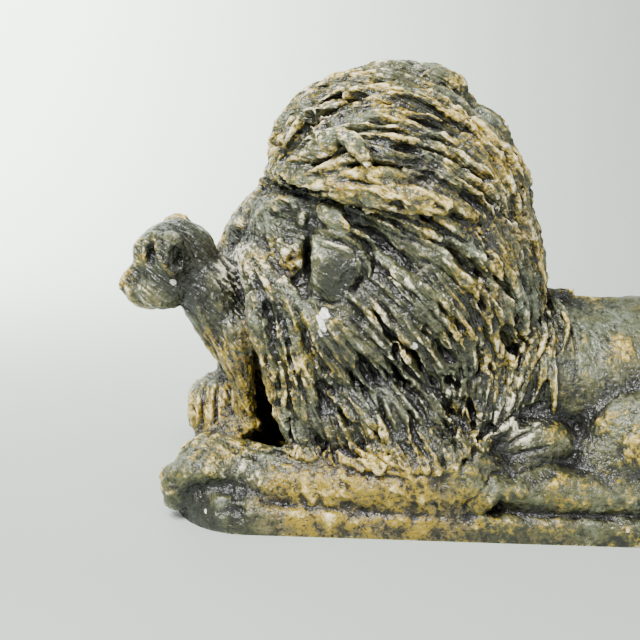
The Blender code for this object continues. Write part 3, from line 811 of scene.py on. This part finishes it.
def scratch(places, spacing, lengths, steps, drift, widths, depths, hem=mane_hem):
    """Grooves or scratches that run with the hair, with their depths in millimetres."""
    for point in roots_on(places, spacing, marks):
        length = marks.uniform(*lengths)
        stroke = comb_path(skin, Vector(point), length, steps, marks.uniform(-drift, drift), hem)
        if len(stroke) > SHORTEST_PATH:
            clay.carve(stroke, marks.uniform(*widths), marks.uniform(*depths))


def above_slab(x):
    """Height where scratches on the body end."""
    return 2.0


# First the gouges that the photograph shows, then all the rest
clay = Clay(cast.data)
marks = np.random.default_rng(SEED + 2)
for x, z, angle, length, width in NEAR_GOUGES:
    stroke = []
    for share in np.linspace(-0.6, 0.6, 7):
        turn = math.radians(angle + 12 * share)
        place = on_side(x + share * length * math.cos(turn), z + share * length * math.sin(turn))
        if place[0]:
            stroke.append(place)
    if len(stroke) > 3:
        clay.carve(stroke, width, 4.0 + 1.6 * width)
crest_points = mane_points[mane_points[:, 2] > CREST_FOOT]
gouge_out(mane_points, spacing=36.0, lengths=(18.0, 40.0), widths=(2.2, 4.0), depths=(1.0, 1.9))
gouge_out(crest_points, spacing=21.0, lengths=(14.0, 32.0), widths=(2.6, 4.6), depths=(1.3, 2.2))
scratch(mane_points, spacing=13.0, lengths=(40.0, 110.0), steps=16, drift=0.4, widths=(1.5, 2.6),
        depths=(1.2, 3.2))
for places, width, depth in carved_lines():
    clay.carve([skin.find_nearest(place)[:2] for place in places], width, depth)
body_points = core_points[~in_mane(core_points) & (core_points[:, 2] > SLAB_TOP)]
scratch(body_points, spacing=17.0, lengths=(14.0, 34.0), steps=6, drift=0.5, widths=(1.6, 3.0),
        depths=(0.5, 1.4), hem=above_slab)
for places, width, depth in NEAR_LINES:
    steps = [on_side(x, z) for x, z in places]
    clay.carve([step for step in steps if step[0]], width, depth)
for center, radii, push in CUB_HOLLOWS:
    press(clay.moved, center, radii, push)
press(clay.moved, on_side(*EAR_SLIT)[0], (4.6, 20, 22), (0, 18, 0))
for x, z, radius in CURL_HOLLOWS:
    press(clay.moved, on_side(x, z)[0] - Vector((0, 4, 0)), (radius, 9, radius), (0, 6, 0))
clay.carve([skin.find_nearest(place)[:2] for place in CREST_NOTCH], 3.6, 9.0)
face_points = body_points[(body_points[:, 0] < -165) & (body_points[:, 0] > -278) & (body_points[:, 2] > 60)]
scratch(face_points, spacing=7.0, lengths=(12.0, 30.0), steps=6, drift=0.5, widths=(1.3, 2.0),
        depths=(0.6, 1.6), hem=above_slab)
oval, outward = on_side(*OVAL_PLACE)
press(clay.moved, oval + outward * 8.0, (13, 8, 5), (0, 3.5, 0), OVAL_TURN)
clay.put_back(cast.data)

points = points_of(cast.data)
normals = normals_of(cast.data)
along = hair_directions(points)
along -= normals * (along * normals).sum(1, keepdims=True)
along /= np.clip(np.linalg.norm(along, axis=1, keepdims=True), 0.25, None)
hairy = in_mane(points)
worked = np.where(hairy, 1.0, np.where(points[:, 0] < -150, 0.8, 0.45))
rocky = np.where(hairy, 0.25, np.where(points[:, 0] > 10, 0.6, 1.0))
rocky = rocky * np.clip((52 - points[:, 2]) / 16.0, 0.0, 1.0)
# Streaks along the hair, a grainy skin, and rock-like knobs and pits near the slab
rough = 0.55 * worked * streaks(points, along, 5.0, 30.0, SEED)
rough += 0.25 * worked * streaks(points, along, 2.4, 14.0, SEED + 1)
rough += 1.2 * hairy * streaks(points, along, 12.0, 26.0, SEED + 6)
rough += (0.5 + 0.9 * rocky) * value_noise(points, 7.0, SEED + 2)
rough += (np.where(hairy, 0.12, 0.25) + 0.5 * rocky) * value_noise(points, 3.2, SEED + 3)
pits = np.clip(value_noise(points, 5.0, SEED + 5) - 0.2, 0, 1)
rough += rocky * (2.2 * value_noise(points, 17.0, SEED + 4) - 1.8 * pits)
rough *= np.clip((points[:, 2] - GROUND) / 6.0, 0.0, 1.0)
move_points(cast.data, points + normals * rough[:, None])

fewer = cast.modifiers.new("facets", "DECIMATE")
fewer.ratio = MOST_FACETS / (2.0 * len(cast.data.polygons))
bake(cast)


def stand_flat(item):
    """Drop specks that the reduction cut loose, then cut the slab's underside flat at the ground."""
    work = bmesh.new()
    work.from_mesh(item.data)
    top = max(work.verts, key=lambda vert: vert.co.z)
    joined = {top}
    waiting = [top]
    while waiting:
        vert = waiting.pop()
        for edge in vert.link_edges:
            other = edge.other_vert(vert)
            if other not in joined:
                joined.add(other)
                waiting.append(other)
    loose = [vert for vert in work.verts if vert not in joined]
    bmesh.ops.delete(work, geom=loose, context="VERTS")
    everything = work.verts[:] + work.edges[:] + work.faces[:]
    cut = bmesh.ops.bisect_plane(work, geom=everything, dist=1e-5, plane_co=(0, 0, GROUND),
                                 plane_no=(0, 0, -1), clear_outer=True)
    rim = [part for part in cut["geom_cut"] if isinstance(part, bmesh.types.BMEdge)]
    bmesh.ops.edgenet_fill(work, edges=rim)
    bmesh.ops.triangulate(work, faces=work.faces[:])
    work.to_mesh(item.data)
    work.free()


stand_flat(cast)
cast.data.polygons.foreach_set("use_smooth", [True] * len(cast.data.polygons))
bpy.data.objects.remove(core)

# The patina
# Green-black glaze brushed over plaster, with a grey-green bloom, bronze powder
# and pale tan on the ridges, the pale tan partly a painted highlight, stains, and
# bare plaster where it is rubbed or chipped.
# Dirt and painted shade fill the hollows. A thin varnish lies over it, worn off below the mane.

# Places in the figure: x, y, z, radius and strength
RUBBED = [
    (-219, -23, 177, 30, 0.9), (-195, -50, 165, 30, 0.75), (-90, -96, 165, 40, 0.2),
    (-230, -8, 152, 22, 0.7), (4, -92, 66, 22, 0.7), (16, -98, 50, 18, 0.3), (-205, -104, 28, 22, 0.7),
    (-4, -70, 226, 26, 0.5), (-150, -60, 290, 28, 0.5), (-296, -40, 156, 18, 0.5),
    (-170, -72, 200, 16, 0.4), (-40, -100, 110, 30, 0.25), (120, 100, 90, 70, 0.4),
    (-200, 60, 140, 50, 0.5), (230, -60, 70, 60, 0.4), (60, 110, 20, 60, 0.4),
]
GILDED = [
    (-158, -118, 6, 36, 0.6), (-98, -122, 12, 38, 0.65), (-122, -110, 33, 18, 0.8),
    (-55, -116, 12, 30, 0.6), (-275, -59, 192, 4, 1.0), (-271, -63, 182, 4, 1.0),
    (-289, -50, 186, 5, 0.8), (-262, -52, 159, 7, 0.9), (-212, -48, 70, 34, 1.0),
    (-236, -47, 120, 20, 0.7), (-265, -62, 176, 8, 1.3), (-289, -52, 180, 7, 0.9),
    (-204, -49, 124, 16, 0.7), (-182, -56, 66, 30, 0.6), (-9, -64, 259, 34, 0.6), (10, -60, 200, 34, 0.4),
    (-16, -95, 161, 22, 0.6), (-125, -93, 245, 14, 0.6), (-80, -98, 238, 26, 0.6),
    (-100, -60, 305, 34, 0.35), (-168, -68, 186, 12, 1.7), (-250, -40, 46, 16, 0.8),
    (-262, -80, 18, 14, 0.7), (-140, 100, 14, 60, 0.7), (180, -110, 10, 60, 0.4), (-30, 70, 250, 50, 0.5),
    (-212, 55, 60, 40, 0.6), (-190, -122, -8, 30, 0.5), (-130, -126, -10, 40, 0.5),
    (-50, -126, -10, 44, 0.5), (30, -122, -4, 44, 0.5),
]
DARKENED = [
    (-248, -44, 190, 30, 1.3), (-270, -30, 208, 18, 1.0), (-262, -50, 160, 16, 1.0),
    (-261, -58, 186, 12, 1.2), (-128, -88, 180, 20, 0.65), (-140, -84, 166, 10, 0.4),
    (20, -108, 44, 46, 0.3), (-236, -118, -16, 30, 0.8), (-264, -90, 8, 26, 0.7),
    (-100, -98, 150, 40, 0.45), (-60, -100, 110, 40, 0.4), (-214, -48, 80, 26, 0.4),
    (-240, -44, 140, 28, 0.8), (-290, -46, 168, 18, 0.5), (-213, -50, 90, 12, 0.5),
    (-88, -30, 334, 30, 0.8), (18, -112, 20, 40, 0.3), (-120, -126, -12, 34, 0.2),
    (-40, -126, -10, 34, 0.2), (60, -126, -6, 60, 0.1), (-238, -100, -10, 24, 0.6),
    (-60, -98, 182, 26, 0.4), (-88, -101, 67, 42, 0.5), (-120, -99, 118, 26, 0.4),
    (-132, -90, 182, 20, 0.8), (-205, -124, -14, 26, 0.7), (-150, -70, 226, 20, 0.4),
    # The last five places, on the lion's far face, paint its nose dark and put painted shade in its eye
    # hollows and along its mouth
    (150, 0, 140, 60, 0.4), (40, 100, 24, 50, 0.7), (-196, 52, 196, 9, 1.4), (-220, 18, 190, 9, 1.4),
    (-245, 64, 172, 11, 1.1), (-204, 65, 146, 9, 0.9), (-235, 61, 151, 9, 0.9),
]
RUSTY = [
    (-68, -44, 316, 8, 1.2), (-112, -100, 268, 8, 1.3), (-125, -93, 245, 8, 1.0),
    (-100, -96, 240, 7, 0.8), (-16, -95, 161, 6, 0.8), (-118, -112, 32, 7, 1.0), (-110, -112, 26, 6, 1.0),
    (-215, -50, 96, 12, 0.8), (-265, -62, 174, 5, 1.2), (-168, -66, 178, 5, 0.9),
]
CHIPPED = [
    (-140, -84, 149, 3.4, 1.0), (-143, -86, 143, 4.6, 1.0), (-140, -87, 138, 4.8, 1.0),
    (-143, -89, 132, 3.6, 1.0), (-137, -86, 143, 3.0, 0.9), (-88, -81, 199, 3.2, 1.0),
    (-69, -98, 173, 2.6, 1.0), (-71, -98, 125, 3.0, 1.0), (-266, -55, 165, 2.6, 1.0),
    (-263, -55, 162, 2.2, 1.0), (-231, -118, -6, 2.0, 1.0), (-167, -119, 0, 1.8, 1.0),
    (-154, -126, -4, 1.4, 1.0), (-195, -127, -18, 2.4, 1.0), (-238, -108, -16, 2.4, 1.0),
]
# Ridges of a few millimetres stand out from a skin smoothed by the first number
# of rounds, and locks and folds from one smoothed by the second
RIDGE_ROUNDS, BROAD_ROUNDS = ((8, 118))
RIDGE_LIMITS = (-3.0, 3.0)
HEIGHT_LIMITS = (-7.0, 4.0)
LONG_EDGE = 9.0
COMB_CELL = 10.0
COMB_ROUNDS = 2500


def smoothed(values, edges, rounds):
    """Each point takes the mean of its neighbours, again and again."""
    count = np.maximum(np.bincount(edges.ravel(), minlength=len(values)), 1)
    for _ in range(rounds):
        total = np.zeros_like(values)
        for axis in range(values.shape[1]):
            total[:, axis] = np.bincount(edges[:, 0], values[edges[:, 1], axis], len(values))
            total[:, axis] += np.bincount(edges[:, 1], values[edges[:, 0], axis], len(values))
        values = 0.4 * values + 0.6 * total / count[:, None]
    return values


def zone(points, places):
    """How strongly each point lies in a list of round places."""
    total = np.zeros(len(points))
    for x, y, z, radius, strength in places:
        total += strength * np.exp(-((points - (x, y, z)) ** 2).sum(1) / radius ** 2)
    return total


def combed(points):
    """Lengths across and along the combed hair, and the depth, for noise that runs with it."""
    low, high = points.min(0) - COMB_CELL, points.max(0) + 2 * COMB_CELL
    columns, rows = (np.arange(low[axis], high[axis], COMB_CELL) for axis in (0, 2))
    x, z = np.meshgrid(columns, rows, indexing="ij")
    heading = hair_directions(np.stack([x.ravel(), np.zeros(x.size), z.ravel()], 1))
    along = heading[:, ::2].reshape(*x.shape, 2)
    beside = np.stack([-along[..., 1], along[..., 0]], -1)
    neighbours = np.full(x.shape, 4.0)
    neighbours[[0, -1]] -= 1
    neighbours[:, [0, -1]] -= 1
    place = (points[:, ::2] - (low[0], low[2])) / COMB_CELL
    i, j = place.astype(int).T
    u, w = (place % 1).T
    result = []
    for field in (beside, along):
        step_x = (field[1:, :, 0] + field[:-1, :, 0]) / 2 * COMB_CELL
        step_z = (field[:, 1:, 1] + field[:, :-1, 1]) / 2 * COMB_CELL
        value = x * field[..., 0].mean() + z * field[..., 1].mean()
        # Settle the grid until its slopes are those of the hair
        for _ in range(COMB_ROUNDS):
            total = np.zeros_like(value)
            total[1:] += value[:-1] + step_x
            total[:-1] += value[1:] - step_x
            total[:, 1:] += value[:, :-1] + step_z
            total[:, :-1] += value[:, 1:] - step_z
            value = 0.2 * value + 0.8 * total / neighbours
        result.append((value[i, j] * (1 - u) + value[i + 1, j] * u) * (1 - w)
                      + (value[i, j + 1] * (1 - u) + value[i + 1, j + 1] * u) * w)
    return np.stack([result[0], result[1], points[:, 1]], 1)


mesh = cast.data
points = points_of(mesh)
normals = normals_of(mesh)
edges = np.empty(len(mesh.edges) * 2, np.int32)
mesh.edges.foreach_get("vertices", edges)
edges = edges.reshape(-1, 2)
# Without the long edges of the flat underside, which would pull its rim in
edges = edges[np.linalg.norm(points[edges[:, 0]] - points[edges[:, 1]], axis=1) < LONG_EDGE]
once = smoothed(points, edges, RIDGE_ROUNDS)
broad = smoothed(once, edges, BROAD_ROUNDS)
height = np.clip(((once - broad) * normals).sum(1), *HEIGHT_LIMITS)
height *= np.clip((points[:, 2] - GROUND) / 24.0, 0.1, 1.0)
ridge = np.clip(((points - once) * normals).sum(1), *RIDGE_LIMITS)
hair_cover = np.clip((points[:, 2] - mane_hem(points[:, 0])) / 10, 0, 1)
hair_cover *= np.where(points[:, 0] > 40, 0.5, 1.0)
forms = {"ridge": ridge, "height": height, "hair": hair_cover}
for name, places in (("rubbed", RUBBED), ("gilded", GILDED), ("darkened", DARKENED), ("rusty", RUSTY),
                     ("chipped", CHIPPED)):
    forms[name] = zone(points, places)
for name, values in forms.items():
    layer = mesh.attributes.new(name, "FLOAT", "POINT")
    layer.data.foreach_set("value", values.astype(np.float32))
run = mesh.attributes.new("combed", "FLOAT_VECTOR", "POINT")
run.data.foreach_set("vector", (combed(points) * UNIT).astype(np.float32).ravel())

points = points * UNIT
points[:, 2] += PLINTH_THICKNESS
points[:, 0] += cad_high.x - (NOSE_X + (PLINTH_SETBACK + PLINTH_LENGTH) / UNIT) * UNIT
points = np.clip(points, np.array(cad_low), np.array(cad_high))
move_points(mesh, points)


def linear(code):
    """A colour from its sRGB hex code, as the shader wants it."""
    parts = [int(code[k:k + 2], 16) / 255 for k in (1, 3, 5)]
    return (*(part / 12.92 if part <= 0.04045 else ((part + 0.055) / 1.055) ** 2.4 for part in parts), 1.0)


def add(tree, kind, feeds, **settings):
    """Add a node with its settings; feeds gives a value or a socket for each of its inputs."""
    node = tree.nodes.new(kind)
    for name, value in settings.items():
        setattr(node, name, value)
    for key, value in feeds.items():
        if isinstance(value, bpy.types.NodeSocket):
            tree.links.new(value, node.inputs[key])
        else:
            node.inputs[key].default_value = value
    return node


# Painted and varnished plaster: dark, broken colour under a soft, uneven gloss
plaster = bpy.data.materials.new("patinated_plaster")
plaster.use_nodes = True
tree = plaster.node_tree
shader = tree.nodes["Principled BSDF"]

# What the coats follow: the form, the places above, and mottling whose patches
# and grains have these sizes in metres. Real bronze powder and dust are finer
# than any of them and are drawn this coarse to show.
MOTTLES = {"patch": 0.040, "clump": 0.022, "blotch": 0.013, "daub": 0.0085, "speck": 0.0040,
           "fleck": 0.0026, "dust": 0.0018}
HAIR_MOTTLES = {"tress": 0.0055, "strand": 0.0020}
follow = {}
for name in forms:
    follow[name] = add(tree, "ShaderNodeAttribute", {}, attribute_name=name).outputs["Fac"]
place = add(tree, "ShaderNodeTexCoord", {}).outputs["Object"]
run = add(tree, "ShaderNodeAttribute", {}, attribute_name="combed").outputs["Vector"]
drawn_out = add(tree, "ShaderNodeVectorMath", {0: run, 1: (1.0, 0.10, 0.7)}, operation="MULTIPLY")
for name, size in (MOTTLES | HAIR_MOTTLES).items():
    field, cover = (drawn_out.outputs["Vector"], follow["hair"]) if name in HAIR_MOTTLES else (place, 1.0)
    # Moved by its own size, so that no two of them line up
    moved = add(tree, "ShaderNodeVectorMath", {0: field, 1: (77 * size, 31 * size, 0.0)}, operation="ADD")
    cloud = add(tree, "ShaderNodeTexNoise", {"Vector": moved.outputs["Vector"], "Scale": 0.6 / size,
                                             "Detail": 2.0, "Roughness": 0.6, "Distortion": 0.3})
    centred = add(tree, "ShaderNodeMapRange", {"Value": cloud.outputs["Fac"], "From Min": 0.3,
                                               "From Max": 0.7, "To Min": -1.0}, clamp=False)
    covered = add(tree, "ShaderNodeMath", {0: centred.outputs["Result"], 1: cover}, operation="MULTIPLY")
    follow[name] = covered.outputs["Value"]

GREEN_BLACK = "#16180f"
# Each coat: pigment, what it follows, where it begins and is full, most cover.
# In turn: olive glaze, grey-green bloom, tan ground, bronze powder, pale tan on
# the ridges that is partly a painted highlight, brown stain, rubbed plaster, dark
# glaze, dirt specks, dirt and painted shade in the hollows, chipped plaster.
COATS = [
    ("#4d4e2c", {"blotch": 0.45, "speck": 0.35, "dust": 0.5, "height": 0.12, "ridge": 0.3, "strand": 0.3},
     -0.7, 0.9, 1.0),
    ("#68725f", {"height": 0.12, "speck": 0.4, "clump": -0.5, "patch": -0.4, "dust": 0.5, "darkened": -0.6,
                 "ridge": 0.25, "strand": 0.35, "gilded": -0.4}, 0.2, 1.4, 0.85),
    ("#74653a", {"gilded": 1.0, "dust": 0.4, "speck": 0.35, "fleck": 0.2, "darkened": -0.6}, 0.2, 0.9, 0.8),
    ("#907808", {"ridge": 0.45, "strand": 0.5, "tress": 0.4, "height": 0.08, "clump": 0.7, "patch": 0.5,
                 "speck": 0.5, "dust": 0.75, "gilded": 0.85, "darkened": -0.9}, 0.55, 1.3, 0.92),
    # Pale tan paint on the ridges and strands, partly a painted highlight
    ("#e0c880", {"ridge": 0.5, "strand": 0.6, "tress": 0.4, "height": 0.08, "clump": 0.6, "patch": 0.4,
                 "speck": 0.35, "dust": 0.4, "gilded": 0.3, "darkened": -0.9}, 0.95, 1.9, 0.92),
    ("#8a5a04", {"rusty": 1.2, "daub": 0.6, "dust": 0.5, "speck": 0.4, "gilded": 0.1}, 1.2, 1.7, 0.8),
    ("#e8e2c4", {"rubbed": 1.4, "dust": 0.5, "speck": 0.35, "ridge": 0.5, "strand": 0.6}, 1.05, 2.0, 0.88),
    (GREEN_BLACK, {"darkened": 1.6, "speck": 0.6, "blotch": 0.3, "dust": 0.7, "ridge": -0.4}, 0.5, 1.5, 0.88),
    ("#0f0f0a", {"fleck": 0.8, "dust": 0.6, "blotch": -0.4, "ridge": -0.4, "strand": -0.7, "gilded": 0.65},
     0.62, 1.25, 0.88),
    # Dirt and painted shade: near black where the form sinks below its smoothed skin
    ("#0b0a06", {"height": -0.20, "ridge": -0.5, "strand": -0.3, "tress": -0.2}, 0.48, 1.35, 0.95),
    ("#efece0", {"chipped": 1.0, "speck": 0.07, "dust": 0.05}, 0.42, 0.50, 1.0),
]
colour = linear(GREEN_BLACK)
for pigment, shares, begins, full, most in COATS:
    amount = 0.0
    for name, share in shares.items():
        amount = add(tree, "ShaderNodeMath", {0: follow[name], 1: share, 2: amount},
                     operation="MULTIPLY_ADD").outputs["Value"]
    cover = add(tree, "ShaderNodeMapRange", {"Value": amount, "From Min": begins, "From Max": full,
                                             "To Max": most}, interpolation_type="SMOOTHSTEP")
    coat = add(tree, "ShaderNodeMix", {0: cover.outputs["Result"], 6: colour, 7: linear(pigment)},
               data_type="RGBA")
    colour = coat.outputs[2]
tree.links.new(colour, shader.inputs["Base Color"])

# The varnish has sunk in here and there, which leaves dull and glossy spots
sheen = add(tree, "ShaderNodeMapRange", {"Value": follow["daub"], "From Min": -1.0, "To Min": 0.28,
                                         "To Max": 0.52})
tree.links.new(sheen.outputs["Result"], shader.inputs["Roughness"])
# Below the mane it is worn thin
varnish = add(tree, "ShaderNodeMapRange", {"Value": follow["hair"], "To Min": 0.2, "To Max": 0.5})
tree.links.new(varnish.outputs["Result"], shader.inputs["Coat Weight"])
shader.inputs["Coat Roughness"].default_value = 0.2
# Brush marks and grain, about half a millimetre deep
relief = 0.0
for name, share in (("dust", 0.45), ("speck", 0.7), ("daub", 0.9), ("strand", 1.0), ("tress", 1.6)):
    relief = add(tree, "ShaderNodeMath", {0: follow[name], 1: share, 2: relief},
                 operation="MULTIPLY_ADD").outputs["Value"]
bump = add(tree, "ShaderNodeBump", {"Height": relief, "Strength": 1.0, "Distance": 0.0006})
tree.links.new(bump.outputs["Normal"], shader.inputs["Normal"])
tree.links.new(bump.outputs["Normal"], shader.inputs["Coat Normal"])

mesh.materials.clear()
mesh.materials.append(plaster)
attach(cast, "root")
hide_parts("lion_and_cub")

# Floor, light and camera
# A seamless sheet of pale matt paper, swept up behind, and soft studio light:
# a large lamp from the front left, a weak one from the right, one on the paper.

SWEEP_FRONT, SWEEP_START, SWEEP_RADIUS, SWEEP_TOP, SWEEP_HALF_WIDTH = -3.0, 0.9, 0.9, 3.0, 4.0
SWEEP_STEPS = 12

line = [(SWEEP_FRONT, 0.0), (SWEEP_START, 0.0)]
for k in range(1, SWEEP_STEPS + 1):
    turn = math.pi / 2 * k / SWEEP_STEPS
    line.append((SWEEP_START + SWEEP_RADIUS * math.sin(turn), SWEEP_RADIUS * (1 - math.cos(turn))))
line.append((SWEEP_START + SWEEP_RADIUS, SWEEP_TOP))
floor_mesh = bpy.data.meshes.new("floor")
floor_mesh.from_pydata([(x, y, z) for y, z in line for x in (-SWEEP_HALF_WIDTH, SWEEP_HALF_WIDTH)], [],
                       [(2 * k, 2 * k + 1, 2 * k + 3, 2 * k + 2) for k in range(len(line) - 1)])
floor_mesh.polygons.foreach_set("use_smooth", [True] * len(floor_mesh.polygons))
floor = bpy.data.objects.new("floor", floor_mesh)
bpy.context.scene.collection.objects.link(floor)
# Uncoated paper: an even, pale grey ground without gloss
paper = bpy.data.materials.new("white_paper")
paper.use_nodes = True
sheet = paper.node_tree.nodes["Principled BSDF"]
sheet.inputs["Base Color"].default_value = linear("#b0b9b0")
sheet.inputs["Roughness"].default_value = 0.8
floor_mesh.materials.append(paper)

# The camera stands where the photograph's did; angles in degrees, the focal
# length in pixels of a picture that is 640 wide
VIEW_AZIMUTH, VIEW_ELEVATION = 4.0, 13.0
VIEW_DISTANCE = 0.76
VIEW_TARGET = Vector((-0.1525, 0.0, 0.142))
VIEW_FOCAL = 870.0
PICTURE_WIDTH = 640.0
SENSOR = 36.0
azimuth, elevation = math.radians(VIEW_AZIMUTH), math.radians(VIEW_ELEVATION)
back = Vector((math.sin(azimuth) * math.cos(elevation), -math.cos(azimuth) * math.cos(elevation),
               math.sin(elevation)))
right = Vector((math.cos(azimuth), math.sin(azimuth), 0.0))
up = back.cross(right)
camera_data = bpy.data.cameras.new("camera")
camera_data.sensor_width = SENSOR
camera_data.lens = VIEW_FOCAL * SENSOR / PICTURE_WIDTH
camera = bpy.data.objects.new("camera", camera_data)
facing = Matrix((right, up, back)).transposed().to_4x4()
camera.matrix_world = Matrix.Translation(VIEW_TARGET + back * VIEW_DISTANCE) @ facing
bpy.context.scene.collection.objects.link(camera)
bpy.context.scene.camera = camera

world = bpy.data.worlds.new("studio")
bpy.context.scene.world = world
world.use_nodes = True
room = world.node_tree.nodes["Background"]
room.inputs["Color"].default_value = (1, 1, 1, 1)
room.inputs["Strength"].default_value = 0.46
# Name, place and aim in metres, watts, width in metres
LAMPS = [
    ("key", (-0.55, -0.75, 1.25), (0.0, 0.0, 0.15), 53.0, 0.6),
    ("fill", (1.0, -0.9, 0.7), (0.0, 0.0, 0.15), 9.0, 0.8),
    ("backdrop_lamp", (-1.3, 0.6, 1.2), (-1.2, 1.8, 0.5), 180.0, 0.6),
]
for name, lamp_place, aim, power, size in LAMPS:
    lamp = bpy.data.lights.new(name, "AREA")
    lamp.energy = power
    lamp.size = size
    item = bpy.data.objects.new(name, lamp)
    item.location = lamp_place
    item.rotation_euler = (Vector(lamp_place) - Vector(aim)).to_track_quat("Z", "Y").to_euler()
    bpy.context.scene.collection.objects.link(item)
